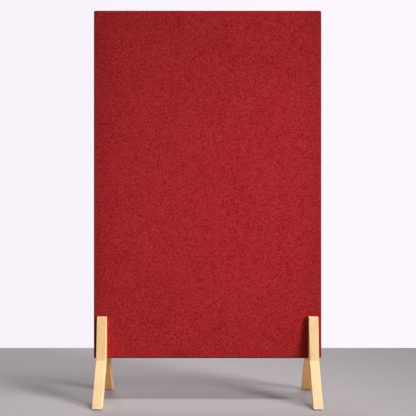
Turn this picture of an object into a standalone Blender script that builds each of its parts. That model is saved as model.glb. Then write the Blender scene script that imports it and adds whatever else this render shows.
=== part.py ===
"""Freestanding acoustic panel: a padded, fabric-covered panel clamped between four sawn wooden leg bars.

Metres, +Z up. The origin is on the floor under the middle of the panel, and the front faces -Y.
The panel is a doweled timber frame with a hardboard septum in grooves, absorbing slabs on both sides
of it, wadding on both faces, and a fabric cover in two halves that meet at a seam round the edge.
Two leg bars on each side hold the panel between them with through bolts.
"""

import math

import bmesh
import bpy
from mathutils import Matrix, Vector

# Panel, measured outside its cover
PANEL_WIDTH = 0.800
PANEL_HEIGHT = 1.222
PANEL_THICKNESS = 0.050
PANEL_BOTTOM = 0.148
PANEL_EDGE_RADIUS = 0.004
PANEL_CORNER_EASE = 0.002

# Gap left between pieces that rest on each other
SEAT_GAP = 0.0003

# Fabric cover and the strip that closes it underneath
COVER_THICKNESS = 0.0012
STRIP_WIDTH = 0.024
STRIP_THICKNESS = 0.0010
STRIP_END_SETBACK = 0.020

# Wadding between cover and frame
WADDING_THICKNESS = 0.003

# Timber frame
STILE_WIDTH = 0.045
RAIL_WIDTH = 0.045

# Septum boards and the grooves that hold them
SEPTUM_THICKNESS = 0.0032
GROOVE_DEPTH = 0.007

# Dowels of the frame's joints
DOWEL_RADIUS = 0.004
DOWEL_LENGTH = 0.060
DOWEL_CHAMFER = 0.0008
DOWEL_FLUTE_DEPTH = 0.0004
DOWEL_GROOVE_MARGIN = 0.002
DOWEL_END_CLEARANCE = 0.0006

# Leg bars, sawn from one plank: an upright cheek on the panel and a splayed foot below the crease
LEG_WIDTH = 0.033
LEG_INSET = 0.014
CHEEK_RISE = 0.148
CHEEK_TOP_THICKNESS = 0.016
CREASE_THICKNESS = 0.0345
CREASE_DROP = 0.001
FOOT_REACH = 0.118
FOOT_BAR_THICKNESS = 0.029
CREASE_RADIUS = 0.004
LEG_ARRIS = 0.0015

# Felt pads under the feet
PAD_THICKNESS = 0.0025
PAD_SETBACK = 0.003
PAD_CORNER_RADIUS = 0.004

# Bolts, washers and threaded inserts
BOLT_RADIUS = 0.003
BOLT_HOLE_CLEARANCE = 0.0005
BOLT_RAIL_MARGIN = 0.010
BOLT_TOP_MARGIN = 0.028
BOLT_SEAT_DEPTH = 0.0105
BOLT_CHAMFER = 0.0006
BOLT_TIP_SETBACK = 0.001
HEAD_RADIUS = 0.005
HEAD_HEIGHT = 0.006
SOCKET_WIDTH = 0.005
SOCKET_DEPTH = 0.003
WASHER_RADIUS = 0.006
WASHER_THICKNESS = 0.0016
COUNTERBORE_CLEARANCE = 0.0005
INSERT_RADIUS = 0.005
INSERT_LENGTH = 0.012
INSERT_FLANGE_RADIUS = 0.0065
INSERT_FLANGE_THICKNESS = 0.0012

# Overrun of every cut past the surface that it opens, and the distance that welds vertices
CUT_OVERRUN = 0.020
WELD_DISTANCE = 0.000001

# Counts
DOWEL_FLUTES = 12
ROUND_SIDES = 20
ARC_STEPS = 4
ARRIS_STEPS = 2

# Orientations: a standing plate is drawn in XZ and extruded towards the front
STANDING = (math.radians(90), 0, 0)
ALONG_X = (0, math.radians(90), 0)
FACING_FRONT = (math.radians(90), 0, math.radians(-90))
FACING_REAR = (math.radians(90), 0, math.radians(90))
SHARP_ANGLE = math.radians(35)
EASED_ANGLE = math.radians(60)

# Fits that follow from the sizes above
PANEL_CORNER_RADIUS = PANEL_EDGE_RADIUS + PANEL_CORNER_EASE
PANEL_TOP = PANEL_BOTTOM + PANEL_HEIGHT
SKIN = COVER_THICKNESS + SEAT_GAP
FRAME_WIDTH = PANEL_WIDTH - 2 * SKIN
FRAME_BOTTOM = PANEL_BOTTOM + SKIN
FRAME_TOP = PANEL_TOP - SKIN
FRAME_HEIGHT = FRAME_TOP - FRAME_BOTTOM
FRAME_DEPTH = PANEL_THICKNESS - 2 * (SKIN + WADDING_THICKNESS + SEAT_GAP)
FRAME_ARRIS = PANEL_EDGE_RADIUS - SKIN
FRAME_CORNER_RADIUS = PANEL_CORNER_RADIUS - SKIN
MIDDLE_HEIGHT = (FRAME_BOTTOM + FRAME_TOP) / 2
BAY_WIDTH = FRAME_WIDTH - 2 * STILE_WIDTH
BAY_HEIGHT = (FRAME_HEIGHT - 3 * RAIL_WIDTH) / 2
RAIL_LENGTH = BAY_WIDTH - 2 * SEAT_GAP
RAIL_HEIGHTS = {
    "bottom_rail": FRAME_BOTTOM + RAIL_WIDTH / 2,
    "mid_rail": MIDDLE_HEIGHT,
    "top_rail": FRAME_TOP - RAIL_WIDTH / 2,
}
BAY_HEIGHTS = {
    "lower": FRAME_BOTTOM + RAIL_WIDTH + BAY_HEIGHT / 2,
    "upper": FRAME_TOP - RAIL_WIDTH - BAY_HEIGHT / 2,
}
DOWEL_OFFSET = RAIL_WIDTH / 2 - GROOVE_DEPTH - DOWEL_GROOVE_MARGIN - DOWEL_RADIUS
JOINT_X = BAY_WIDTH / 2
LEG_X = PANEL_WIDTH / 2 - LEG_INSET - LEG_WIDTH / 2
LEG_FACE = PANEL_THICKNESS / 2 + SEAT_GAP
CHEEK_TOP = PANEL_BOTTOM + CHEEK_RISE
CREASE_HEIGHT = PANEL_BOTTOM - CREASE_DROP
FOOT_HEIGHT = PAD_THICKNESS + SEAT_GAP
BOLT_HOLE_RADIUS = BOLT_RADIUS + BOLT_HOLE_CLEARANCE
BOLT_HEIGHTS = {
    "lower": FRAME_BOTTOM + RAIL_WIDTH + BOLT_RAIL_MARGIN + BOLT_HOLE_RADIUS,
    "upper": CHEEK_TOP - BOLT_TOP_MARGIN,
}
SEAT_Y = LEG_FACE + BOLT_SEAT_DEPTH
HEAD_Y = SEAT_Y + SEAT_GAP + WASHER_THICKNESS + SEAT_GAP
TIP_Y = -(LEG_FACE + INSERT_LENGTH - BOLT_TIP_SETBACK)
SIDES = {"left": -1, "right": 1}


def clear_scene():
    """Remove the objects that the file opens with."""
    for obj in list(bpy.data.objects):
        bpy.data.objects.remove(obj, do_unlink=True)


def linear(*channels):
    """Linear colour with full alpha, from the 0 to 255 values seen on a screen."""
    full = 255
    return tuple((channel / full) ** 2.2 for channel in channels) + (1.0,)


def make_material(name, colour, roughness, metallic=0.0):
    """A Principled material of one colour."""
    material = bpy.data.materials.new(name)
    material.use_nodes = True
    shader = material.node_tree.nodes["Principled BSDF"]
    shader.inputs["Base Color"].default_value = colour
    shader.inputs["Roughness"].default_value = roughness
    shader.inputs["Metallic"].default_value = metallic
    material.diffuse_color = colour
    return material


def assembly(name, parent=None):
    """An empty that gathers pieces."""
    empty = bpy.data.objects.new(name, None)
    bpy.context.scene.collection.objects.link(empty)
    empty.parent = parent
    return empty


def mesh_from(bm, name, smooth=False):
    """Close a bmesh into a mesh with outward normals, smooth between its sharp edges if asked."""
    bmesh.ops.recalc_face_normals(bm, faces=bm.faces)
    mesh = bpy.data.meshes.new(name)
    bm.to_mesh(mesh)
    bm.free()
    if smooth:
        mesh.shade_smooth()
        mesh.set_sharp_from_angle(angle=SHARP_ANGLE)
    return mesh


def place(name, mesh, material, parent, location, rotation=(0, 0, 0)):
    """Put one named piece in the scene."""
    obj = bpy.data.objects.new(name, mesh)
    if not mesh.materials:
        mesh.materials.append(material)
    bpy.context.scene.collection.objects.link(obj)
    obj.parent = parent
    obj.location = location
    obj.rotation_euler = rotation
    return obj


def place_cutter(name, bm):
    """A hidden wire guide that Boolean modifiers cut with."""
    obj = bpy.data.objects.new(name, mesh_from(bm, name))
    bpy.context.scene.collection.objects.link(obj)
    obj.hide_render = True
    obj.display_type = "WIRE"
    return obj


def cut(obj, *cutters):
    """Cut each cutter's shape out of a piece."""
    for cutter in cutters:
        modifier = obj.modifiers.new(cutter.name, "BOOLEAN")
        modifier.operation = "DIFFERENCE"
        modifier.object = cutter


def ease_edges(obj, width):
    """Round the sharp edges of a piece."""
    modifier = obj.modifiers.new("eased edges", "BEVEL")
    modifier.width = width
    modifier.segments = ARRIS_STEPS
    modifier.limit_method = "ANGLE"
    modifier.angle_limit = EASED_ANGLE


def filleted(corners):
    """Points of an outline whose (x, y, radius) corners are replaced by arcs of that radius."""
    points = []
    for index, (x, y, radius) in enumerate(corners):
        corner = Vector((x, y))
        if radius == 0:
            points.append(corner)
            continue
        before = (Vector(corners[index - 1][:2]) - corner).normalized()
        after = (Vector(corners[(index + 1) % len(corners)][:2]) - corner).normalized()
        opening = before.angle(after)
        centre = corner + (before + after).normalized() * radius / math.sin(opening / 2)
        start = corner + before * radius / math.tan(opening / 2) - centre
        turn = math.copysign(math.pi - opening, after.cross(before))
        for step in range(ARC_STEPS + 1):
            points.append(centre + Matrix.Rotation(turn * step / ARC_STEPS, 2) @ start)
    return points


def rectangle(width, height, *radii):
    """Outline of a rectangle centred on the origin, with its corners' radii from the lower left round."""
    radii = radii * 4 if len(radii) == 1 else radii
    half_width, half_height = width / 2, height / 2
    shares = ((-1, -1), (1, -1), (1, 1), (-1, 1))
    return filleted([(u * half_width, v * half_height, r) for (u, v), r in zip(shares, radii)])


def prism(outline, low, high):
    """An outline extruded from one height to another."""
    bm = bmesh.new()
    floor = bm.faces.new([bm.verts.new((x, y, low)) for x, y in outline])
    grown = bmesh.ops.extrude_face_region(bm, geom=[floor])["geom"]
    lifted = [item for item in grown if isinstance(item, bmesh.types.BMVert)]
    bmesh.ops.translate(bm, verts=lifted, vec=(0, 0, high - low))
    bmesh.ops.recalc_face_normals(bm, faces=bm.faces)
    return bm


def turned(profile):
    """A (radius, height) profile spun about Z; a profile that leaves the axis is closed on itself."""
    bm = bmesh.new()
    verts = [bm.verts.new((radius, 0, height)) for radius, height in profile]
    edges = [bm.edges.new(pair) for pair in zip(verts, verts[1:])]
    if profile[0][0] > 0:
        edges.append(bm.edges.new((verts[-1], verts[0])))
    bmesh.ops.spin(
        bm, geom=verts + edges, axis=(0, 0, 1), cent=(0, 0, 0), angle=2 * math.pi, steps=ROUND_SIDES
    )
    bmesh.ops.remove_doubles(bm, verts=bm.verts, dist=WELD_DISTANCE)
    return bm


def cylinders(parts):
    """Separate cylinders in one mesh, each from one point to another with its own radius."""
    bm = bmesh.new()
    for start, end, radius in parts:
        axis = Vector(end) - Vector(start)
        middle = (Vector(end) + Vector(start)) / 2
        spot = Matrix.Translation(middle) @ axis.to_track_quat("Z", "Y").to_matrix().to_4x4()
        bmesh.ops.create_cone(
            bm, cap_ends=True, segments=ROUND_SIDES, radius1=radius, radius2=radius,
            depth=axis.length, matrix=spot,
        )
    return bm


def bolt_places():
    """Name, x and z of each bolt."""
    for side, sign in SIDES.items():
        for level, height in BOLT_HEIGHTS.items():
            yield f"{side}_{level}", sign * LEG_X, height


def dowel_places():
    """Name, x and z of each dowel, on the line between a stile and a rail."""
    for side, sign in SIDES.items():
        for rail, height in RAIL_HEIGHTS.items():
            for level, offset in (("lower", -DOWEL_OFFSET), ("upper", DOWEL_OFFSET)):
                yield f"{side}_{rail}_dowel_{level}", sign * JOINT_X, height + offset


def make_cutters():
    """The guides for bolt holes, counterbores, insert holes, dowel holes, septum grooves and hex sockets."""
    far = LEG_FACE + FOOT_REACH + CUT_OVERRUN
    flange_radius = INSERT_FLANGE_RADIUS + SEAT_GAP
    flange_y = -(LEG_FACE + INSERT_FLANGE_THICKNESS + SEAT_GAP)
    insert_y = -(LEG_FACE + INSERT_LENGTH + SEAT_GAP)
    near = -(LEG_FACE - CUT_OVERRUN)
    hole_half = DOWEL_LENGTH / 2 + DOWEL_END_CLEARANCE
    spots = [(x, z) for _, x, z in bolt_places()]
    cutters = {
        "bolt_hole": cylinders(
            [((x, insert_y + SEAT_GAP, z), (x, far, z), BOLT_HOLE_RADIUS) for x, z in spots]),
        "counterbore": cylinders(
            [((x, SEAT_Y, z), (x, far, z), WASHER_RADIUS + COUNTERBORE_CLEARANCE) for x, z in spots]),
        "insert_hole": cylinders(
            [((x, near, z), (x, insert_y, z), INSERT_RADIUS + SEAT_GAP) for x, z in spots]),
        "flange_hole": cylinders(
            [((x, near, z), (x, flange_y, z), flange_radius) for x, z in spots]),
        "dowel_hole": cylinders(
            [((x - hole_half, 0, z), (x + hole_half, 0, z), DOWEL_RADIUS + SEAT_GAP)
             for _, x, z in dowel_places()]),
        "groove": groove_bm(),
        "hex_socket": socket_bm(spots),
    }
    return {name: place_cutter(f"{name}_cutter", bm) for name, bm in cutters.items()}


def groove_bm():
    """One block for each bay, as large as the septum board's grooves all round it."""
    bm = bmesh.new()
    size = (BAY_WIDTH + 2 * GROOVE_DEPTH, SEPTUM_THICKNESS + 2 * SEAT_GAP, BAY_HEIGHT + 2 * GROOVE_DEPTH)
    for height in BAY_HEIGHTS.values():
        spot = Matrix.Translation((0, 0, height)) @ Matrix.Diagonal((*size, 1))
        bmesh.ops.create_cube(bm, size=1, matrix=spot)
    return bm


def socket_bm(spots):
    """A hexagonal prism for the socket in each bolt's head."""
    bm = bmesh.new()
    across_corners = SOCKET_WIDTH / math.sqrt(3)
    floor_y = HEAD_Y + HEAD_HEIGHT - SOCKET_DEPTH
    length = SOCKET_DEPTH + CUT_OVERRUN
    quarter_turn = Matrix.Rotation(math.radians(90), 4, "X")
    for x, z in spots:
        bmesh.ops.create_cone(
            bm, cap_ends=True, segments=6, radius1=across_corners, radius2=across_corners,
            depth=length, matrix=Matrix.Translation((x, floor_y + length / 2, z)) @ quarter_turn,
        )
    return bm


def make_cover(name, rotation, material, parent, cutters):
    """Half of the cover: an open tray with rounded edges, from the seam to one face of the panel."""
    outline = rectangle(PANEL_WIDTH, PANEL_HEIGHT, PANEL_CORNER_RADIUS)
    bm = prism(outline, SEAT_GAP / 2, PANEL_THICKNESS / 2)
    faces = sorted(bm.faces, key=lambda face: face.calc_center_median().z)
    rim = list(faces[-1].edges)
    bmesh.ops.delete(bm, geom=[faces[0]], context="FACES_ONLY")
    bmesh.ops.bevel(
        bm, geom=rim, offset=PANEL_EDGE_RADIUS, segments=ARC_STEPS, profile=0.5, affect="EDGES"
    )
    cover = place(name, mesh_from(bm, name, smooth=True), material, parent,
                  (0, 0, (PANEL_BOTTOM + PANEL_TOP) / 2), rotation)
    wall = cover.modifiers.new("fabric", "SOLIDIFY")
    wall.thickness = COVER_THICKNESS
    wall.offset = -1
    wall.use_even_offset = True
    cut(cover, cutters["bolt_hole"])
    return cover


def make_bottom_strip(material, parent):
    """The strip under the panel that closes the cover where it is pulled on."""
    length = PANEL_WIDTH - 2 * (PANEL_CORNER_RADIUS + STRIP_END_SETBACK)
    outline = rectangle(length, STRIP_WIDTH, PANEL_EDGE_RADIUS)
    bm = prism(outline, -(SEAT_GAP + STRIP_THICKNESS), -SEAT_GAP)
    place("bottom_strip", mesh_from(bm, "bottom_strip"), material, parent, (0, 0, PANEL_BOTTOM))


def make_wadding(name, sign, material, parent, cutters):
    """A sheet of wadding between the frame and one half of the cover, short of the rounded edges."""
    outline = rectangle(
        PANEL_WIDTH - 2 * PANEL_EDGE_RADIUS, PANEL_HEIGHT - 2 * PANEL_EDGE_RADIUS, PANEL_CORNER_EASE
    )
    bm = prism(outline, -WADDING_THICKNESS / 2, WADDING_THICKNESS / 2)
    y = sign * (FRAME_DEPTH / 2 + SEAT_GAP + WADDING_THICKNESS / 2)
    wadding = place(name, mesh_from(bm, name), material, parent,
                    (0, y, (PANEL_BOTTOM + PANEL_TOP) / 2), STANDING)
    cut(wadding, cutters["bolt_hole"])


def ease_outside(bm, crisp):
    """Round the long edges of a frame member, except along the sides that face a crisp direction."""
    picked = []
    for edge in bm.edges:
        normals = [face.normal for face in edge.link_faces]
        across = [normal for normal in normals if abs(normal.z) < SHARP_ANGLE]
        if len(across) != 1:
            continue
        if all(across[0].angle(Vector((*direction, 0))) > SHARP_ANGLE for direction in crisp):
            picked.append(edge)
    if picked:
        bmesh.ops.bevel(
            bm, geom=picked, offset=FRAME_ARRIS, segments=ARRIS_STEPS, profile=0.5, affect="EDGES"
        )


def make_member(name, outline, crisp, location, material, parent, cutters):
    """A board of the frame with its dowel holes and septum grooves."""
    bm = prism(outline, -FRAME_DEPTH / 2, FRAME_DEPTH / 2)
    ease_outside(bm, crisp)
    member = place(name, mesh_from(bm, name), material, parent, location, STANDING)
    cut(member, cutters["dowel_hole"], cutters["groove"])
    return member


def make_frame(material, parent, cutters):
    """Two full-height stiles and three rails between them."""
    radius = FRAME_CORNER_RADIUS
    for side, sign in SIDES.items():
        radii = (radius, 0, 0, radius) if sign < 0 else (0, radius, radius, 0)
        x = sign * (FRAME_WIDTH - STILE_WIDTH) / 2
        stile = make_member(
            f"{side}_stile", rectangle(STILE_WIDTH, FRAME_HEIGHT, *radii), [(-sign, 0)],
            (x, 0, MIDDLE_HEIGHT), material, parent, cutters)
        cut(stile, cutters["bolt_hole"])
    for name, height in RAIL_HEIGHTS.items():
        crisp = [(-1, 0), (1, 0)]
        crisp += [(0, 1)] if name != "top_rail" else []
        crisp += [(0, -1)] if name != "bottom_rail" else []
        make_member(name, rectangle(RAIL_LENGTH, RAIL_WIDTH, 0), crisp, (0, 0, height),
                    material, parent, cutters)


def make_dowels(material, parent):
    """Fluted dowels with chamfered ends, two across each joint of the frame."""
    half = DOWEL_LENGTH / 2
    bm = bmesh.new()
    loops = []
    for height, cutback in ((-half, DOWEL_CHAMFER), (DOWEL_CHAMFER - half, 0),
                            (half - DOWEL_CHAMFER, 0), (half, DOWEL_CHAMFER)):
        loop = []
        for index in range(2 * DOWEL_FLUTES):
            angle = math.pi * index / DOWEL_FLUTES
            radius = DOWEL_RADIUS - cutback - (index % 2) * DOWEL_FLUTE_DEPTH
            loop.append(bm.verts.new((radius * math.cos(angle), radius * math.sin(angle), height)))
        loops.append(loop)
    for lower, upper in zip(loops, loops[1:]):
        for index in range(2 * DOWEL_FLUTES):
            bm.faces.new((lower[index - 1], lower[index], upper[index], upper[index - 1]))
    bm.faces.new(loops[0])
    bm.faces.new(loops[-1])
    mesh = mesh_from(bm, "dowel")
    for name, x, z in dowel_places():
        place(name, mesh, material, parent, (x, 0, z), ALONG_X)


def make_filling(septum_material, absorber_material, parent):
    """In each bay, a septum board in its grooves and an absorbing slab before and behind it."""
    reach = 2 * (GROOVE_DEPTH - SEAT_GAP)
    board = prism(
        rectangle(BAY_WIDTH + reach, BAY_HEIGHT + reach, 0), -SEPTUM_THICKNESS / 2, SEPTUM_THICKNESS / 2
    )
    slab_depth = (FRAME_DEPTH - SEPTUM_THICKNESS) / 2 - SEAT_GAP
    slab = prism(
        rectangle(BAY_WIDTH - 2 * SEAT_GAP, BAY_HEIGHT - 2 * SEAT_GAP, 0), -slab_depth / 2, slab_depth / 2
    )
    board_mesh = mesh_from(board, "septum")
    slab_mesh = mesh_from(slab, "absorber")
    slab_y = (FRAME_DEPTH - slab_depth) / 2
    for bay, height in BAY_HEIGHTS.items():
        place(f"{bay}_septum", board_mesh, septum_material, parent, (0, 0, height), STANDING)
        for face, sign in (("front", -1), ("rear", 1)):
            place(f"{face}_{bay}_absorber", slab_mesh, absorber_material, parent,
                  (0, sign * slab_y, height), STANDING)


def foot_bar_width():
    """The foot bar's thickness measured along the floor, from its splay."""
    run = FOOT_REACH - CREASE_THICKNESS
    return FOOT_BAR_THICKNESS * math.hypot(run, CREASE_HEIGHT) / CREASE_HEIGHT


def leg_outline():
    """Side outline of a leg bar: distance from the panel against height."""
    splay = (FOOT_REACH - CREASE_THICKNESS) / CREASE_HEIGHT
    across = foot_bar_width()
    outer_foot = FOOT_REACH - splay * FOOT_HEIGHT
    inner_crease = CREASE_HEIGHT + (CREASE_THICKNESS - across) / splay
    return filleted([
        (0, inner_crease, CREASE_RADIUS),
        (outer_foot - across, FOOT_HEIGHT, 0),
        (outer_foot, FOOT_HEIGHT, 0),
        (CREASE_THICKNESS, CREASE_HEIGHT, CREASE_RADIUS),
        (CHEEK_TOP_THICKNESS, CHEEK_TOP, 0),
        (0, CHEEK_TOP, 0),
    ])


def make_legs(material, parent, cutters):
    """Four leg bars: the front ones take the inserts, and the rear ones the bolts' heads."""
    mesh = mesh_from(prism(leg_outline(), -LEG_WIDTH / 2, LEG_WIDTH / 2), "leg_bar")
    for side, sign in SIDES.items():
        front = place(f"front_{side}_leg", mesh, material, parent,
                      (sign * LEG_X, -LEG_FACE, 0), FACING_FRONT)
        rear = place(f"rear_{side}_leg", mesh, material, parent,
                     (sign * LEG_X, LEG_FACE, 0), FACING_REAR)
        for bar in (front, rear):
            ease_edges(bar, LEG_ARRIS)
        cut(front, cutters["insert_hole"], cutters["flange_hole"])
        cut(rear, cutters["bolt_hole"], cutters["counterbore"])


def make_foot_pads(material, parent):
    """A felt pad under each foot."""
    across = foot_bar_width()
    splay = (FOOT_REACH - CREASE_THICKNESS) / CREASE_HEIGHT
    centre = LEG_FACE + FOOT_REACH - splay * FOOT_HEIGHT - across / 2
    outline = rectangle(LEG_WIDTH - 2 * PAD_SETBACK, across - 2 * PAD_SETBACK, PAD_CORNER_RADIUS)
    mesh = mesh_from(prism(outline, 0, PAD_THICKNESS), "foot_pad")
    for side, sign in SIDES.items():
        for face, way in (("front", -1), ("rear", 1)):
            place(f"{face}_{side}_foot_pad", mesh, material, parent, (sign * LEG_X, way * centre, 0))


def make_hardware(steel, zinc, parent, cutters):
    """Bolts from the rear, each through its washer into a flanged insert in the front bar."""
    length = HEAD_Y - TIP_Y
    bolt = turned([
        (0, length), (BOLT_RADIUS - BOLT_CHAMFER, length), (BOLT_RADIUS, length - BOLT_CHAMFER),
        (BOLT_RADIUS, 0), (HEAD_RADIUS, 0), (HEAD_RADIUS, BOLT_CHAMFER - HEAD_HEIGHT),
        (HEAD_RADIUS - BOLT_CHAMFER, -HEAD_HEIGHT), (0, -HEAD_HEIGHT),
    ])
    bore = BOLT_RADIUS + SEAT_GAP
    washer = turned([
        (bore, 0), (WASHER_RADIUS, 0), (WASHER_RADIUS, WASHER_THICKNESS), (bore, WASHER_THICKNESS)
    ])
    insert = turned([
        (bore, 0), (INSERT_FLANGE_RADIUS, 0), (INSERT_FLANGE_RADIUS, INSERT_FLANGE_THICKNESS),
        (INSERT_RADIUS, INSERT_FLANGE_THICKNESS), (INSERT_RADIUS, INSERT_LENGTH - BOLT_CHAMFER),
        (INSERT_RADIUS - BOLT_CHAMFER, INSERT_LENGTH), (bore, INSERT_LENGTH),
    ])
    bolt_mesh = mesh_from(bolt, "bolt", smooth=True)
    washer_mesh = mesh_from(washer, "washer", smooth=True)
    insert_mesh = mesh_from(insert, "insert", smooth=True)
    for spot, x, z in bolt_places():
        screw = place(f"{spot}_bolt", bolt_mesh, steel, parent, (x, HEAD_Y, z), STANDING)
        cut(screw, cutters["hex_socket"])
        place(f"{spot}_washer", washer_mesh, zinc, parent,
              (x, SEAT_Y + SEAT_GAP + WASHER_THICKNESS, z), STANDING)
        place(f"{spot}_insert", insert_mesh, zinc, parent, (x, -LEG_FACE, z), STANDING)


def build():
    """Model the whole panel."""
    clear_scene()
    fabric = make_material("red fabric", linear(163, 36, 41), 0.95)
    lining = make_material("white wadding", linear(228, 226, 220), 0.95)
    absorber = make_material("grey absorber", linear(150, 154, 150), 0.95)
    pine = make_material("planed pine", linear(222, 190, 140), 0.60)
    hardboard = make_material("brown hardboard", linear(120, 84, 54), 0.70)
    beech = make_material("beech dowel", linear(214, 176, 130), 0.60)
    pale_wood = make_material("pale lacquered wood", linear(250, 212, 158), 0.45)
    steel = make_material("black steel", linear(52, 52, 54), 0.40, 1.0)
    zinc = make_material("zinc plate", linear(190, 192, 196), 0.35, 1.0)
    felt = make_material("dark felt", linear(64, 60, 58), 0.95)
    screen = assembly("acoustic_screen")
    panel = assembly("panel", screen)
    legs = assembly("leg_sets", screen)
    cutters = make_cutters()
    make_frame(pine, panel, cutters)
    make_dowels(beech, panel)
    make_filling(hardboard, absorber, panel)
    make_wadding("front_wadding", -1, lining, panel, cutters)
    make_wadding("rear_wadding", 1, lining, panel, cutters)
    make_cover("front_cover", STANDING, fabric, panel, cutters)
    make_cover("rear_cover", (math.radians(90), 0, math.radians(180)), fabric, panel, cutters)
    make_bottom_strip(fabric, panel)
    make_legs(pale_wood, legs, cutters)
    make_foot_pads(felt, legs)
    make_hardware(steel, zinc, legs, cutters)


build()
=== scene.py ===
import math

import bmesh
import bpy
import numpy as np
from mathutils import Euler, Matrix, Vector


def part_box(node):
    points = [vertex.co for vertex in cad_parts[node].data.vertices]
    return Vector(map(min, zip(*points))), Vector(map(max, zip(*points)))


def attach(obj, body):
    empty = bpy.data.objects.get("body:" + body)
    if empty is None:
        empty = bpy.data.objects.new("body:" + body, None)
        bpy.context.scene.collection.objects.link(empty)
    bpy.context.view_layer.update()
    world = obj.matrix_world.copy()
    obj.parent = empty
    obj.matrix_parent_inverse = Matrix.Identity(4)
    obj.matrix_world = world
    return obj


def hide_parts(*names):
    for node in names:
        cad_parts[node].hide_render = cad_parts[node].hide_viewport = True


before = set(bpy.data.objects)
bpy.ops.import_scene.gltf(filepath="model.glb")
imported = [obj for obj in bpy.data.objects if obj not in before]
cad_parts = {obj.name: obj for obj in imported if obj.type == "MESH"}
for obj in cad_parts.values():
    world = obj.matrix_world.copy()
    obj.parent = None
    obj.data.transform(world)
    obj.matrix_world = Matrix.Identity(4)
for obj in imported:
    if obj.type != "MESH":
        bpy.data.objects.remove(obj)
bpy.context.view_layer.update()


# Camera

photo = {
    "side": 416,            # pixels along each side of the photograph
    "panelAcross": 227.8,   # pixels across the panel's face, were its edges not rounded
    "panelMiddle": 207.6,   # pixel column of the panel's middle
    "panelBottom": 358.35,  # pixel row of the face's lower edge, likewise
    "wallFoot": 347.9,      # pixel row where the floor meets the wall
    "horizon": 218.0,       # pixel row of eye level
    "distance": 2.25,       # metres from the eye to the panel's front face
    "sensor": 36.0,         # millimetres
}


def addObject(name, data):
    # an object in the scene
    added = bpy.data.objects.new(name, data)
    bpy.context.scene.collection.objects.link(added)
    return added


def makeCamera(shot):
    # a level eye: focal length in pixels = pixels per metre at the panel x distance,
    # and eye height = lower edge's height + rows between it and eye level / pixels per metre
    low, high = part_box("front_cover")
    perMetre = shot["panelAcross"] / (high[0] - low[0])
    focal = perMetre * shot["distance"]
    eyeY = low[1] - shot["distance"]
    eyeZ = low[2] + (shot["panelBottom"] - shot["horizon"]) / perMetre
    data = bpy.data.cameras.new("eye")
    data.sensor_width = shot["sensor"]
    data.lens = focal * shot["sensor"] / shot["side"]
    data.shift_x = (shot["side"] / 2 - shot["panelMiddle"]) / shot["side"]
    data.shift_y = (shot["horizon"] - shot["side"] / 2) / shot["side"]
    camera = addObject("eye", data)
    camera.location = ((low[0] + high[0]) / 2, eyeY, eyeZ)
    camera.rotation_euler = (math.radians(90), 0, 0)
    bpy.context.scene.camera = camera
    return eyeY + focal * eyeZ / (shot["wallFoot"] - shot["horizon"])    # where the wall stands


# Materials: sums on sockets, and the short ways to grow a node tree

def screenColour(channels):
    # linear colour from the 0 to 255 values of a screen
    shares = np.array(channels) / 255
    curved = np.where(shares <= 0.04045, shares / 12.92, ((shares + 0.055) / 1.055) ** 2.4)
    return (*curved.tolist(), 1.0)


class Wire:
    # a socket that takes part in sums: each sum adds a Math node
    def __init__(self, finish, socket):
        self.finish = finish
        self.socket = socket

    def __add__(self, other):
        return self.finish.math("ADD", self, other)

    def __radd__(self, other):
        return self.finish.math("ADD", other, self)

    def __sub__(self, other):
        return self.finish.math("SUBTRACT", self, other)

    def __rsub__(self, other):
        return self.finish.math("SUBTRACT", other, self)

    def __mul__(self, other):
        return self.finish.math("MULTIPLY", self, other)

    def __rmul__(self, other):
        return self.finish.math("MULTIPLY", other, self)

    def __truediv__(self, other):
        return self.finish.math("DIVIDE", self, other)

    def __abs__(self):
        return self.finish.math("ABSOLUTE", self)


def blend(parts, shares):
    # each part times its share, added up
    return sum(part * share for part, share in zip(parts, shares))


shaderSockets = {
    "colour": "Base Color", "roughness": "Roughness", "metallic": "Metallic", "normal": "Normal",
    "coat": "Coat Weight", "coatRoughness": "Coat Roughness", "specular": "Specular IOR Level",
    "sheen": "Sheen Weight", "sheenRoughness": "Sheen Roughness", "sheenTint": "Sheen Tint",
}


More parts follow.
